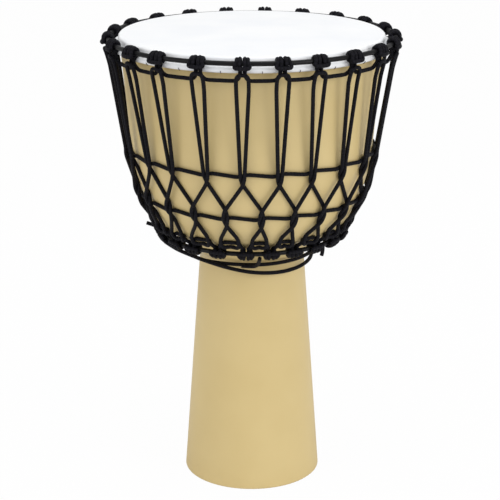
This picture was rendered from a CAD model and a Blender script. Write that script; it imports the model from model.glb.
import math

import bpy
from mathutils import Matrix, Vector


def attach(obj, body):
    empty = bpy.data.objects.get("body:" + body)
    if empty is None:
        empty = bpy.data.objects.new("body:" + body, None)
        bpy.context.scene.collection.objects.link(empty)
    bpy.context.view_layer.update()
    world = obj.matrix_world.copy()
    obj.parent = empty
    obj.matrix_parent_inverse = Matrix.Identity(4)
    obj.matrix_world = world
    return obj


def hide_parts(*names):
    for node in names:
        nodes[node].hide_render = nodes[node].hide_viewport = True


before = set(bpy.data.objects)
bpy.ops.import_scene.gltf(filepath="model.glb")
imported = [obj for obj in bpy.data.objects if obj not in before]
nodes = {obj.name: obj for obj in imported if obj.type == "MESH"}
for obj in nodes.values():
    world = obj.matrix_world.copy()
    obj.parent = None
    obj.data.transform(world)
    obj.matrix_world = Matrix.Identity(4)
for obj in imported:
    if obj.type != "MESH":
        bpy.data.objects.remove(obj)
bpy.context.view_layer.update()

# ---------------------------------------------------------------- shell
# The body is one hollow goblet, rotation-moulded in cream PVC: a conical foot, a narrow
# throat and a round bowl. It leaves its mould with an even satin skin and no seam.
MM = 0.001


def linear(hex_colour):
    """An sRGB hex colour as the linear values a shader wants."""
    channels = [int(hex_colour[place:place + 2], 16) / 255 for place in (0, 2, 4)]
    return [c / 12.92 if c <= 0.04045 else ((c + 0.055) / 1.055) ** 2.4 for c in channels] + [1.0]


def add_node(tree, kind, links=(), **settings):
    """A shader node with its settings; links are (input, output socket) or (input, value)."""
    node = tree.nodes.new(kind)
    for name, value in settings.items():
        setattr(node, name, value)
    for name, source in links:
        if isinstance(source, bpy.types.NodeSocket):
            tree.links.new(source, node.inputs[name])
        else:
            node.inputs[name].default_value = source
    return node


def new_material(name):
    """An empty node material and its output node."""
    material = bpy.data.materials.new(name)
    material.use_nodes = True
    material.node_tree.nodes.clear()
    return material, add_node(material.node_tree, "ShaderNodeOutputMaterial")


def colour_steps(tree, factor, steps):
    """A ramp from a value to colours; steps are (place, hex colour)."""
    ramp = add_node(tree, "ShaderNodeValToRGB", [("Fac", factor)])
    while len(ramp.color_ramp.elements) < len(steps):
        ramp.color_ramp.elements.new(0.5)
    for element, (place, colour) in zip(ramp.color_ramp.elements, steps):
        element.position = place
        element.color = linear(colour)
    return ramp.outputs["Color"]


def finish_all(node_name, material):
    """Give a whole CAD node one finish."""
    piece = nodes[node_name]
    piece.data.materials.clear()
    piece.data.materials.append(material)


# Moulded PVC: cream right through, satin, with a faint cloudiness in its colour and the
# soft ripple that a rotation mould leaves. It gives broad soft highlights.
moulded_pvc, output = new_material("moulded_cream_pvc")
tree = moulded_pvc.node_tree
place = add_node(tree, "ShaderNodeTexCoord").outputs["Object"]
clouds = add_node(tree, "ShaderNodeTexNoise", [("Vector", place), ("Scale", 9.0), ("Detail", 3.0)])
cream = colour_steps(tree, clouds.outputs["Fac"], [(0.3, "D6BE84"), (0.7, "DDC68D")])
grain = add_node(tree, "ShaderNodeTexNoise", [("Vector", place), ("Scale", 420.0), ("Detail", 2.0)])
ripple = add_node(tree, "ShaderNodeTexNoise", [("Vector", place), ("Scale", 26.0), ("Detail", 1.0)])
wave = add_node(tree, "ShaderNodeBump",
                [("Height", ripple.outputs["Fac"]), ("Strength", 0.12), ("Distance", 1.2 * MM)])
skin = add_node(tree, "ShaderNodeBump",
                [("Height", grain.outputs["Fac"]), ("Strength", 0.10), ("Distance", 0.1 * MM),
                 ("Normal", wave.outputs["Normal"])])
dull = add_node(tree, "ShaderNodeMapRange",
                [("Value", clouds.outputs["Fac"]), ("To Min", 0.40), ("To Max", 0.50)])
pvc = add_node(tree, "ShaderNodeBsdfPrincipled",
               [("Base Color", cream), ("Roughness", dull.outputs["Result"]), ("IOR", 1.53),
                ("Normal", skin.outputs["Normal"]), ("Specular IOR Level", 0.45)])
tree.links.new(pvc.outputs["BSDF"], output.inputs["Surface"])
finish_all("shell", moulded_pvc)

# ---------------------------------------------------------------- head
# The head is a disc of white polyester film, heat-formed over the shell's rim, its collar's
# hem rolled round a steel hoop. The film is coated, so that it is white and almost matt.
coated_film, output = new_material("coated_polyester_film")
tree = coated_film.node_tree
place = add_node(tree, "ShaderNodeTexCoord").outputs["Object"]
haze = add_node(tree, "ShaderNodeTexNoise", [("Vector", place), ("Scale", 14.0), ("Detail", 4.0)])
white = colour_steps(tree, haze.outputs["Fac"], [(0.35, "F6F8FB"), (0.65, "FCFDFE")])
coat = add_node(tree, "ShaderNodeTexNoise", [("Vector", place), ("Scale", 900.0), ("Detail", 2.0)])
tooth = add_node(tree, "ShaderNodeBump",
                 [("Height", coat.outputs["Fac"]), ("Strength", 0.15), ("Distance", 0.06 * MM)])
film = add_node(tree, "ShaderNodeBsdfPrincipled",
                [("Base Color", white), ("Roughness", 0.46), ("IOR", 1.57),
                 ("Normal", tooth.outputs["Normal"])])
tree.links.new(film.outputs["BSDF"], output.inputs["Surface"])
finish_all("drum_head", coated_film)

# ---------------------------------------------------------------- flesh hoop
# The hoop inside the hem is a ring of zinc-plated steel rod, bent and welded. The hem
# hides all of it, and it takes the pull of the ropes.
zinc_rod, output = new_material("zinc_plated_rod")
tree = zinc_rod.node_tree
place = add_node(tree, "ShaderNodeTexCoord").outputs["Object"]
spangle = add_node(tree, "ShaderNodeTexVoronoi", [("Vector", place), ("Scale", 260.0)])
zinc = colour_steps(tree, spangle.outputs["Distance"], [(0.0, "9A9CA0"), (1.0, "BFC1C4")])
steel = add_node(tree, "ShaderNodeBsdfPrincipled",
                 [("Base Color", zinc), ("Metallic", 1.0), ("Roughness", 0.38)])
tree.links.new(steel.outputs["BSDF"], output.inputs["Surface"])
finish_all("flesh_hoop", zinc_rod)

# ---------------------------------------------------------------- hem stitches
# One short stitch of dark waxed thread between each two hitches tacks the hem to the hoop.
waxed_thread, output = new_material("dark_waxed_thread")
tree = waxed_thread.node_tree
place = add_node(tree, "ShaderNodeTexCoord").outputs["Object"]
twist = add_node(tree, "ShaderNodeTexWave", [("Vector", place), ("Scale", 300.0), ("Distortion", 1.0)])
dark = colour_steps(tree, twist.outputs["Fac"], [(0.0, "2A2A30"), (1.0, "4A4A52")])
thread = add_node(tree, "ShaderNodeBsdfPrincipled", [("Base Color", dark), ("Roughness", 0.55)])
tree.links.new(thread.outputs["BSDF"], output.inputs["Surface"])
finish_all("hem_stitches", waxed_thread)

# ---------------------------------------------------------------- rings
# Crown ring and bottom ring are steel rod welded into hoops and powder-coated black. The
# coat is thick and even, with a fine orange peel.
powder_coat, output = new_material("black_powder_coat")
tree = powder_coat.node_tree
place = add_node(tree, "ShaderNodeTexCoord").outputs["Object"]
peel = add_node(tree, "ShaderNodeTexNoise", [("Vector", place), ("Scale", 700.0), ("Detail", 2.0)])
bump = add_node(tree, "ShaderNodeBump",
                [("Height", peel.outputs["Fac"]), ("Strength", 0.25), ("Distance", 0.1 * MM)])
wear = add_node(tree, "ShaderNodeTexNoise", [("Vector", place), ("Scale", 60.0), ("Detail", 4.0)])
rub = add_node(tree, "ShaderNodeMapRange",
               [("Value", wear.outputs["Fac"]), ("To Min", 0.26), ("To Max", 0.42)])
coat = add_node(tree, "ShaderNodeBsdfPrincipled",
                [("Base Color", linear("0B0B0D")), ("Roughness", rub.outputs["Result"]),
                 ("IOR", 1.5), ("Specular IOR Level", 0.2), ("Normal", bump.outputs["Normal"])])
tree.links.new(coat.outputs["BSDF"], output.inputs["Surface"])
finish_all("crown_ring", powder_coat)
finish_all("bottom_ring", powder_coat)

# ---------------------------------------------------------------- crown rope
# The upper cradle is one braided cord, tied to the crown ring with a cow hitch at every
# place where the lacing hangs, and drawn along below the ring from each to the next.
ROPE = 5.0
HITCHES = 22
FRONT_HITCHES = [-53.0, -38.0, -20.5, -3.5, 11.5, 26.0, 42.0, 58.5]
BELLY_RADIUS, BELLY_HEIGHT = 156.5, 451.0
SIDE_LEAN = (169.6 - BELLY_RADIUS) / (597.0 - BELLY_HEIGHT)
BOWL_CURVE, BOWL_RADIUS, BOWL_HEIGHT = 225.7, -68.3, 471.2  # the rounded side and its centre
RING_TOP, RING_BOTTOM = (183.2, 592.4), (119.0, 338.0)  # radius and height
CLEAR = 0.5  # between the bowl and a cord that lies on it


def shell_radius(height):
    """The bowl's outer radius at a height, in millimetres."""
    if height >= BELLY_HEIGHT:
        return BELLY_RADIUS + (height - BELLY_HEIGHT) * SIDE_LEAN
    return BOWL_RADIUS + math.sqrt(BOWL_CURVE ** 2 - (height - BOWL_HEIGHT) ** 2)


def lying(height, lift=0.0):
    """Radius of the middle of a cord that lies on the bowl, or that far above lying on it."""
    return shell_radius(height) + CLEAR + ROPE / 2 + lift


def at(angle, radius, height, sideways=0.0):
    """A point round the drum, in millimetres, moved along the circle by some of them."""
    turn = math.radians(angle) + sideways / radius
    return Vector((radius * math.sin(turn), -radius * math.cos(turn), height))


def all_round(front):
    """The angles at the front, and the rest of the circle shared out evenly."""
    hidden = HITCHES - len(front)
    step = (360 + front[0] - front[-1]) / (hidden + 1)
    return front + [front[-1] + step * (count + 1) for count in range(hidden)]


def hold_straight(route, closed, reach=7.0):
    """Points near both ends of each long run, so that only its corners are rounded."""
    held = []
    following = route[1:] + (route[:1] if closed else [])
    for here, there in zip(route, following):
        held.append(here)
        run = there - here
        if run.length > 2.4 * reach:
            held.append(here + run.normalized() * reach)
            held.append(there - run.normalized() * reach)
    if not closed:
        held.append(route[-1])
    return held


def soften(route, closed, step=1.8):
    """Points along a smooth line that the route's points pull towards them."""
    line = []
    count = len(route)
    for place in range(0 if closed else 1, count if closed else count - 1):
        corner = route[place]
        before = (route[place - 1] + corner) / 2
        after = (corner + route[(place + 1) % count]) / 2
        if not closed and place == 1:
            before = route[0]
        if not closed and place == count - 2:
            after = route[-1]
        pieces = max(2, math.ceil(((corner - before).length + (after - corner).length) / step))
        for piece in range(pieces):
            t = piece / pieces
            line.append(before * (1 - t) ** 2 + corner * 2 * t * (1 - t) + after * t ** 2)
    if not closed:
        line.append(route[-1])
    return line


def cord_mesh(name, line, thickness, closed=False, sides=12):
    """A cord along a line of points in millimetres; its UV holds metres along and turns round."""
    count = len(line)
    normal = Vector((0, 0, 1)).cross(line[1] - line[0])
    if normal.length < 1e-6:
        normal = Vector((1, 0, 0))
    frames = []
    for place in range(count):
        ahead = line[(place + 1) % count] if closed or place < count - 1 else line[place]
        behind = line[place - 1] if closed or place > 0 else line[place]
        along = (ahead - behind).normalized()
        normal = (normal - along * normal.dot(along)).normalized()
        frames.append((normal.copy(), along.cross(normal)))
    drift = 0.0
    if closed:
        first, across = frames[0]
        drift = math.atan2(normal.dot(across), normal.dot(first))
    points, lengths, run = [], [], 0.0
    for place, (out, across) in enumerate(frames):
        untwist = -drift * place / count
        for side in range(sides):
            turn = 2 * math.pi * side / sides + untwist
            reach = out * math.cos(turn) + across * math.sin(turn)
            points.append((line[place] + reach * thickness / 2) * MM)
        lengths.append(run)
        run += (line[(place + 1) % count] - line[place]).length
    faces, marks = [], []
    for place in range(count if closed else count - 1):
        there = (place + 1) % count
        start, end = lengths[place] * MM, (lengths[there] if there else run) * MM
        for side in range(sides):
            on = (side + 1) % sides
            faces.append((place * sides + side, place * sides + on,
                          there * sides + on, there * sides + side))
            marks += [(start, side / sides), (start, (side + 1) / sides),
                      (end, (side + 1) / sides), (end, side / sides)]
    if not closed:
        for base, order in ((0, -1), ((count - 1) * sides, 1)):
            rim = list(range(base, base + sides))[::order]
            faces.append(rim)
            marks += [(0.0, vertex / sides) for vertex in range(sides)]
    mesh = bpy.data.meshes.new(name)
    mesh.from_pydata(points, [], faces)
    layer = mesh.uv_layers.new(name="lay")
    for loop, mark in zip(layer.data, marks):
        loop.uv = mark
    mesh.polygons.foreach_set("use_smooth", [len(face) == 4 for face in faces])
    mesh.update()
    piece = bpy.data.objects.new(name, mesh)
    bpy.context.scene.collection.objects.link(piece)
    return piece


# Braided polyester: black filament yarns in a tight diamond braid. A braid of sixteen yarns
# is drawn with eight, so that it shows. Each yarn catches a little bluish light on its crown.
braided_cord, output = new_material("black_braided_polyester")
tree = braided_cord.node_tree
lay = add_node(tree, "ShaderNodeUVMap", uv_map="lay").outputs["UV"]
split = add_node(tree, "ShaderNodeSeparateXYZ", [("Vector", lay)])
along = add_node(tree, "ShaderNodeMath", [(0, split.outputs["X"]), (1, 2 * math.pi / (8.0 * MM))],
                 operation="MULTIPLY")
round_it = add_node(tree, "ShaderNodeMath", [(0, split.outputs["Y"]), (1, 2 * math.pi * 4)],
                    operation="MULTIPLY")
yarns = []
for operation in ("ADD", "SUBTRACT"):
    phase = add_node(tree, "ShaderNodeMath", [(0, round_it.outputs[0]), (1, along.outputs[0])],
                     operation=operation)
    yarns.append(add_node(tree, "ShaderNodeMath", [(0, phase.outputs[0])], operation="SINE"))
crown = add_node(tree, "ShaderNodeMath", [(0, yarns[0].outputs[0]), (1, yarns[1].outputs[0])],
                 operation="MULTIPLY")
height = add_node(tree, "ShaderNodeMapRange", [("Value", crown.outputs[0]), ("From Min", -1.0)])
fuzz = add_node(tree, "ShaderNodeTexNoise",
                [("Vector", add_node(tree, "ShaderNodeTexCoord").outputs["Object"]),
                 ("Scale", 1400.0), ("Detail", 2.0)])
fibres = add_node(tree, "ShaderNodeBump",
                  [("Height", fuzz.outputs["Fac"]), ("Strength", 0.3), ("Distance", 0.15 * MM)])
relief = add_node(tree, "ShaderNodeBump",
                  [("Height", height.outputs["Result"]), ("Strength", 0.8), ("Distance", 0.5 * MM),
                   ("Normal", fibres.outputs["Normal"])])
black = colour_steps(tree, height.outputs["Result"], [(0.15, "07070A"), (0.85, "16151D")])
cord = add_node(tree, "ShaderNodeBsdfPrincipled",
                [("Base Color", black), ("Roughness", 0.62), ("IOR", 1.5),
                 ("Normal", relief.outputs["Normal"]), ("Specular IOR Level", 0.12)])
tree.links.new(cord.outputs["BSDF"], output.inputs["Surface"])


def lay_cord(name, route, replaced, closed=False):
    """A braided cord along a route that stands for those CAD nodes."""
    line = soften(hold_straight(route, closed), closed)
    piece = cord_mesh(name, line, ROPE, closed)
    piece.data.materials.append(braided_cord)
    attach(piece, "root")
    if replaced:
        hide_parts(*replaced)


def hitch_turn(ring, up, side, degrees, sideways, reach):
    """A point on the turn that a hitch takes over a ring; 0 is outwards, 90 away from the drum."""
    turn = math.radians(degrees)
    return (side * sideways, ring[0] + reach * math.cos(turn), ring[1] + reach * math.sin(turn) * up)


def cow_hitch(ring, up, neck, bar):
    """One hitch from its left end to its right end, as (sideways, radius, height).

    Each end comes up behind the ring, goes twice over it side by side, and the two join
    in a bar across the front; bar is the bar's middle, out from the ring and along it.
    """
    half = list(neck)
    inner = [(215, 2.9), (170, 2.9), (125, 2.9), (80, 2.9), (35, 2.9), (-10, 3.2), (-55, 3.8)]
    outer = [(-100, 4.6), (-145, 5.6), (-190, 6.2), (-235, 6.4), (-280, 6.4), (-325, 6.6)]
    half += [hitch_turn(ring, up, -1, degrees, across, 6.5) for degrees, across in inner]
    half += [hitch_turn(ring, up, -1, degrees, across, 5.8) for degrees, across in outer]
    half.append((-8.6, ring[0] + bar[0] + 0.2, ring[1] + bar[1] * up + 3.4 * up))
    half.append((-9.2, ring[0] + bar[0] + 1.2, ring[1] + bar[1] * up))
    half.append((-3.5, ring[0] + bar[0] + 2.6, ring[1] + bar[1] * up - 0.2 * up))
    return half + [(-across, radius, height) for across, radius, height in half[::-1]]


def ring_cord(ring, up, neck, bar):
    """The whole cord of a ring: a hitch at every hitch's angle and a loop to the next."""
    route = []
    for angle in hitch_angles:
        route += [at(angle, radius, height, across)
                  for across, radius, height in cow_hitch(ring, up, neck, bar)]
    return route


hitch_angles = all_round(FRONT_HITCHES)
crown_neck = [
    (-14.5, RING_TOP[0] - 5.2, RING_TOP[1] - 21.6),
    (-8.2, RING_TOP[0] - 5.0, RING_TOP[1] - 21.4),
    (-4.3, RING_TOP[0] - 3.2, RING_TOP[1] - 17.8),
    (-2.6, RING_TOP[0] - 1.0, RING_TOP[1] - 12.5),
    (-3.0, RING_TOP[0] - 2.0, RING_TOP[1] - 7.2),
]
lay_cord("crown_rope", ring_cord(RING_TOP, 1, crown_neck, (5.4, -4.4)),
         ["crown_hitches", "crown_cradle"], closed=True)

# ---------------------------------------------------------------- bottom rope
# The lower cradle is a second cord, tied the same way to the bottom ring, upside down. Its
# loops lie on the bowl just above the ring, where the lacing turns back up.
CRADLE_RISE = 17.0
bottom_level = RING_BOTTOM[1] + CRADLE_RISE
bottom_neck = [
    (-13.5, lying(bottom_level), bottom_level),
    (-9.0, lying(bottom_level), bottom_level),
    (-6.4, lying(bottom_level) + 1.2, bottom_level - 3.6),
    (-4.6, RING_BOTTOM[0] + 7.6, bottom_level - 6.8),
    (-3.2, RING_BOTTOM[0] + 1.5, bottom_level - 10.0),
]
lay_cord("bottom_rope", ring_cord(RING_BOTTOM, -1, bottom_neck, (5.6, -1.6)),
         ["bottom_hitches", "bottom_cradle"], closed=True)

# ---------------------------------------------------------------- lacing
# One long cord makes the lacing. It goes up in front of a crown hitch, over as an arch and
# down again, and its two legs cross the legs beside them on the way to the lower cradle.
UPPER_ROW, LOWER_ROW = 450.0, 391.5
FRONT_UPPER = [-51.5, -37.0, -20.0, -4.0, 12.0, 27.0, 43.5, 60.5]
FRONT_LOWER = [-43.5, -28.5, -12.5, 4.5, 20.5, 36.0, 52.0]
upper_knots = all_round(FRONT_UPPER)
lower_knots = all_round(FRONT_LOWER)


def wound(knot, height, phase, lift, side, half_gap=2.6):
    """A leg's place in a pair whose legs wind round each other in front of a row."""
    across = side * half_gap * math.cos(math.radians(phase))
    out = lift + side * half_gap * math.sin(math.radians(phase))
    return at(knot, lying(height, out), height, across)


def leg(hitch, side):
    """One leg, from the top of its arch to the middle of its turn at the lower cradle."""
    here = hitch_angles[hitch]
    upper = upper_knots[hitch]
    lower = lower_knots[hitch - 1 if side > 0 else hitch]
    neighbour = (hitch_angles[(hitch - side) % HITCHES] - here + 180) % 360 - 180
    radius, height = RING_TOP[0] + 4.6, RING_TOP[1] - 13.0
    turn = RING_BOTTOM[1] + 11.4
    return [
        at(here, radius, height, side * 2.2),
        at(here, radius - 0.6, height - 1.2, side * 5.6),
        at(here, radius - 2.2, height - 5.5, side * 7.5),
        at(here, radius - 5.8, height - 19.0, side * 7.5),
        wound(upper, UPPER_ROW, 0, 4.7, side),
        wound(upper, UPPER_ROW - 6, 45, 3.7, side),
        wound(upper, UPPER_ROW - 12, 90, 2.6, side),
        wound(lower, LOWER_ROW + 12, 90, 2.6, side),
        wound(lower, LOWER_ROW + 6, 135, 3.7, side),
        wound(lower, LOWER_ROW, 180, 4.9, side),
        wound(lower, LOWER_ROW - 6, 225, 3.7, side),
        wound(lower, LOWER_ROW - 12, 270, 3.0, side),
        at(here, lying(bottom_level + 6.5, 2.5), bottom_level + 6.5, -side * 9.0),
        at(here, lying(bottom_level, 5.6), bottom_level + 0.5, -side * 8.0),
        at(here, lying(turn, 5.4), turn + 0.6, -side * 8.4),
        at(here, lying(turn, 3.0), turn - 1.5, -side * 11.6),
        at(here + neighbour / 2, lying(turn, 0.9), turn),
    ]


lacing_route = []
for hitch in range(HITCHES, 0, -1):
    lacing_route += leg(hitch % HITCHES, 1) + leg(hitch - 1, -1)[-2::-1]
lay_cord("lacing_rope", lacing_route, ["lacing_right_legs", "lacing_left_legs"], closed=True)

# ---------------------------------------------------------------- rows
# Two cords are drawn round the bowl behind the pairs of legs, which cross above and below
# them. They pull the legs in, and that is how the head is tuned.


def row(knots, height):
    """A row once round the bowl, low into each knot and high out of it."""
    route = []
    for knot in knots:
        route.append(at(knot, lying(height - 1.7), height - 1.7, -6.0))
        route.append(at(knot, lying(height + 1.7), height + 1.7, 6.0))
    return route


lay_cord("upper_row_rope", row(upper_knots, UPPER_ROW), ["upper_weave"], closed=True)
lay_cord("lower_row_rope", row(lower_knots, LOWER_ROW), ["lower_weave"], closed=True)

# ---------------------------------------------------------------- tail
# What is left of the lacing cord hangs once and a half round the throat: from the bottom
# ring at the left, across the front, round the back, across again, and up to the ring.
tail_stations = [
    (-63.5, 125.6, 335.4), (-59, 117.0, 327.6), (-51, 104.0, 320.5), (-38, 91.0, 312.5),
    (-18, 82.5, 305.0), (4, 80.5, 300.0), (28, 80.5, 298.0), (52, 80.5, 299.0),
    (76, 81.0, 302.0), (101, 81.0, 304.5), (126, 81.0, 305.5), (151, 81.0, 306.0),
    (176, 81.0, 305.5), (201, 81.0, 305.0), (226, 81.0, 305.5), (251, 81.5, 306.0),
    (276, 82.0, 305.5), (300, 82.0, 307.0), (325, 81.5, 310.0), (350, 81.0, 311.2),
    (375, 81.0, 311.0), (400, 81.0, 311.6), (422, 83.0, 312.6), (445, 86.5, 314.0),
    (468, 94.5, 319.0), (488, 103.5, 322.0), (500, 110.5, 325.6), (509.6, 117.0, 332.4),
]
tail_curve = bpy.data.curves.new("tail_line", "CURVE")
tail_curve.dimensions = "3D"
spline = tail_curve.splines.new("NURBS")
spline.points.add(len(tail_stations) - 1)
for point, (angle, radius, height) in zip(spline.points, tail_stations):
    point.co = [*(at(angle, radius, height) * MM), 1.0]
spline.order_u = 3
spline.use_endpoint_u = True
spline.resolution_u = 16
tail_line = bpy.data.objects.new("tail_line", tail_curve)
bpy.context.scene.collection.objects.link(tail_line)
bpy.context.view_layer.update()
sampled = bpy.data.meshes.new_from_object(tail_line)
tail_path = [vertex.co.copy() for vertex in sampled.vertices]
bpy.data.objects.remove(tail_line)
tail = cord_mesh("tail_rope", [point / MM for point in tail_path], ROPE)
tail.data.materials.append(braided_cord)
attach(tail, "root")
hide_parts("tail")

# A short end comes down from the ring and lies along the tail's upper run, and two more cut
# ends stand out where the cords were finished off.
lay_cord("tail_tie_rope", [
    at(4.8, 119.0, 332.4), at(4.7, 112.0, 326.0), at(4.2, 101.0, 318.0), at(2.5, 91.5, 313.0),
    at(-1.0, 87.4, 311.4), at(-5.0, 86.8, 311.4), at(-9.0, 87.4, 312.0),
], ["tail_tie"])
lay_cord("cut_end_left", [
    at(-88.0, 127.0, 340.6), at(-88.6, 133.0, 343.0), at(-89.0, 139.0, 344.5),
], ["cut_ends"])
lay_cord("cut_end_right", [
    at(47.5, 122.7, 335.5), at(47.3, 123.1, 330.0), at(46.7, 122.2, 325.0),
], [])

# ---------------------------------------------------------------- floor and light
# A white studio sweep: the floor shows as plain white, and keeps a little of the drum's
# shadow. Broad softboxes stand at the right, at the left and above.
bpy.ops.mesh.primitive_plane_add(size=30.0, location=(0, 0, 0))
floor = bpy.context.object
floor.name = "floor"
studio_white, output = new_material("studio_white")
tree = studio_white.node_tree
matt = add_node(tree, "ShaderNodeBsdfDiffuse", [("Color", linear("F2F2F2"))])
glow = add_node(tree, "ShaderNodeEmission", [("Color", (1, 1, 1, 1)), ("Strength", 1.0)])
ray = add_node(tree, "ShaderNodeLightPath")
share = add_node(tree, "ShaderNodeMath", [(0, ray.outputs["Is Camera Ray"]), (1, 0.97)],
                 operation="MULTIPLY")
sweep = add_node(tree, "ShaderNodeMixShader",
                 [(0, share.outputs[0]), (1, matt.outputs[0]), (2, glow.outputs[0])])
tree.links.new(sweep.outputs[0], output.inputs["Surface"])
floor.data.materials.append(studio_white)

world = bpy.data.worlds.new("studio")
bpy.context.scene.world = world
world.use_nodes = True
tree = world.node_tree
tree.nodes.clear()
ray = add_node(tree, "ShaderNodeLightPath")
seen = add_node(tree, "ShaderNodeMapRange",
                [("Value", ray.outputs["Is Camera Ray"]), ("To Min", 0.62), ("To Max", 1.0)])
sky = add_node(tree, "ShaderNodeBackground",
               [("Color", (1, 1, 1, 1)), ("Strength", seen.outputs["Result"])])
world_output = add_node(tree, "ShaderNodeOutputWorld", [("Surface", sky.outputs[0])])


def softbox(name, place, aim, size, watts):
    """A square area lamp that looks at a point."""
    lamp = bpy.data.lights.new(name, "AREA")
    lamp.shape = "SQUARE"
    lamp.size = size
    lamp.energy = watts
    piece = bpy.data.objects.new(name, lamp)
    piece.location = place
    piece.rotation_euler = (Vector(aim) - Vector(place)).to_track_quat("-Z", "Y").to_euler()
    bpy.context.scene.collection.objects.link(piece)


softbox("key_right", (2.2, -2.0, 1.5), (0, 0, 0.4), 1.6, 28.0)
softbox("fill_left", (-2.4, -1.6, 1.1), (0, 0, 0.35), 1.8, 12.0)
softbox("top", (0.0, -0.3, 2.6), (0, 0, 0.5), 1.8, 19.0)

# ---------------------------------------------------------------- camera
camera_data = bpy.data.cameras.new("camera")
camera_data.sensor_width = 36.0
camera_data.lens = 118.72
camera_data.shift_x = -0.0038
camera = bpy.data.objects.new("camera", camera_data)
camera.location = (0.0, -2.0905, 0.9664)
camera.rotation_euler = (math.radians(90 - 17.533), 0, 0)
bpy.context.scene.collection.objects.link(camera)
bpy.context.scene.camera = camera
bpy.context.scene.view_settings.view_transform = "Standard"
